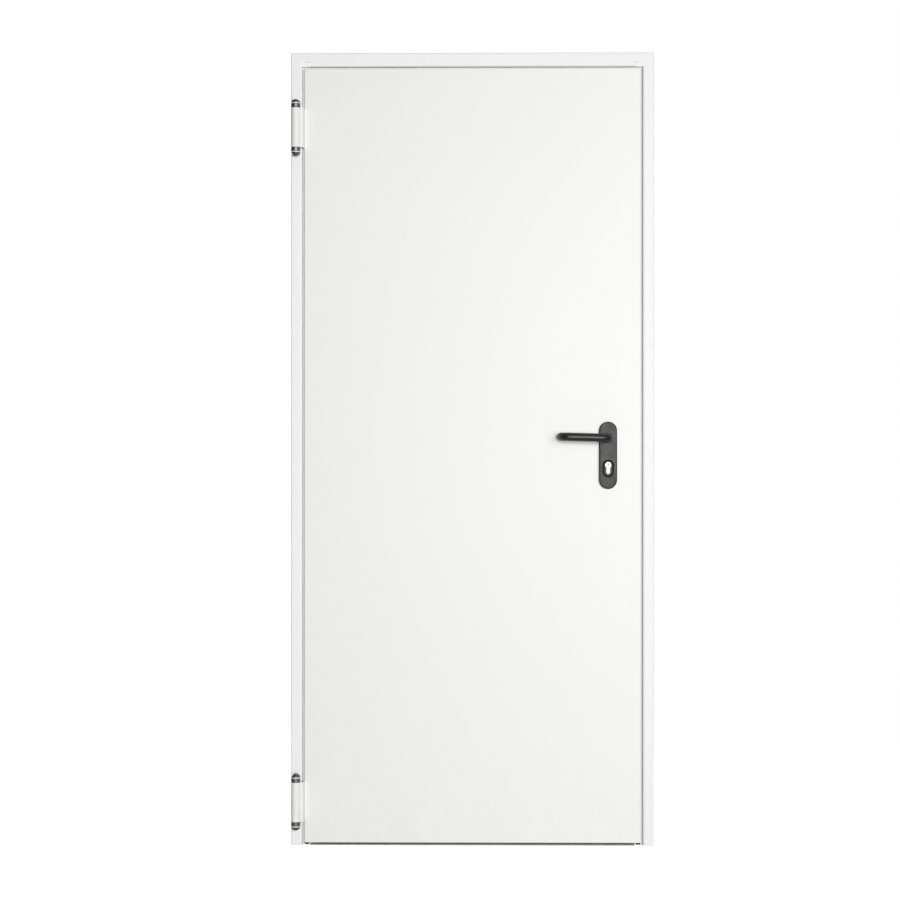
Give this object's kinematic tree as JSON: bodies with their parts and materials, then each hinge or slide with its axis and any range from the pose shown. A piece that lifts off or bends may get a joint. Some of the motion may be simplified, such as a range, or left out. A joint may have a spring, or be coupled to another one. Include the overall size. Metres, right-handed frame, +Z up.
{
  "type": "fire door",
  "caption": "Flush steel fire door leaf rebated into a folded steel frame, hung on barrel hinges, with lever handles on short round-ended plates above a profile cylinder.",
  "frame": {"origin": "centre of the doorway at floor level, on the underside of the threshold bar", "axes": "+X from the hinges towards the lock, -Y towards the side the leaf opens to, +Z up"},
  "size_m": [0.97, 0.186, 2.12],
  "materials": {
    "frame_paint": "satin powder coat",
    "leaf_paint": "satin powder coat",
    "barrel_paint": "satin powder coat",
    "threshold_paint": "dark primed steel",
    "seal_rubber": "matt black",
    "hinge_metal": "polished plated steel",
    "pin_steel": "ground steel",
    "core_wool": "mineral wool board",
    "lock_steel": "zinc plated steel",
    "bolt_steel": "nickel plated steel",
    "handle_plastic": "fine matt",
    "lever_plastic": "satin black",
    "cylinder_brass": "matt nickel brass"
  },
  "bodies": {
    "frame": {"hinge_jamb": "frame_paint", "lock_jamb": "frame_paint", "head": "frame_paint", "threshold_bar": "threshold_paint", "hinge_side_seal": "seal_rubber", "lock_side_seal": "seal_rubber", "head_seal": "seal_rubber", "strike_plate": "lock_steel", "upper_hinge_top_knuckle": "hinge_metal", "upper_hinge_bottom_knuckle": "hinge_metal", "lower_hinge_top_knuckle": "hinge_metal", "lower_hinge_bottom_knuckle": "hinge_metal", "upper_hinge_pin": "pin_steel", "lower_hinge_pin": "pin_steel"},
    "leaf": {"leaf_front_skin": "leaf_paint", "leaf_rear_skin": "leaf_paint", "leaf_core": "core_wool", "lock_case": "lock_steel", "lock_forend": "lock_steel", "latch_bolt": "bolt_steel", "dead_bolt": "bolt_steel", "upper_hinge_barrel": "barrel_paint", "lower_hinge_barrel": "barrel_paint", "front_handle_plate": "handle_plastic", "rear_handle_plate": "handle_plastic", "profile_cylinder": "cylinder_brass", "front_cylinder_plug": "cylinder_brass", "rear_cylinder_plug": "cylinder_brass"},
    "levers": {"front_lever": "lever_plastic", "rear_lever": "lever_plastic", "lever_spindle": "lock_steel"}
  },
  "joints": [
    {"name": "leaf_swing", "type": "hinge", "parent": "frame", "child": "leaf", "pos_m": [-0.471, -0.066, 1.02], "axis": [0, 0, -1], "range_deg": [0, 170], "stiffness_Nm_per_rad": 4, "springref_deg": -28.65},
    {"name": "lever_turn", "type": "hinge", "parent": "leaf", "child": "levers", "pos_m": [0.362, -0.018, 1.0896], "axis": [0, -1, 0], "range_deg": [0, 40], "stiffness_Nm_per_rad": 1.2, "springref_deg": -34.38}
  ]
}
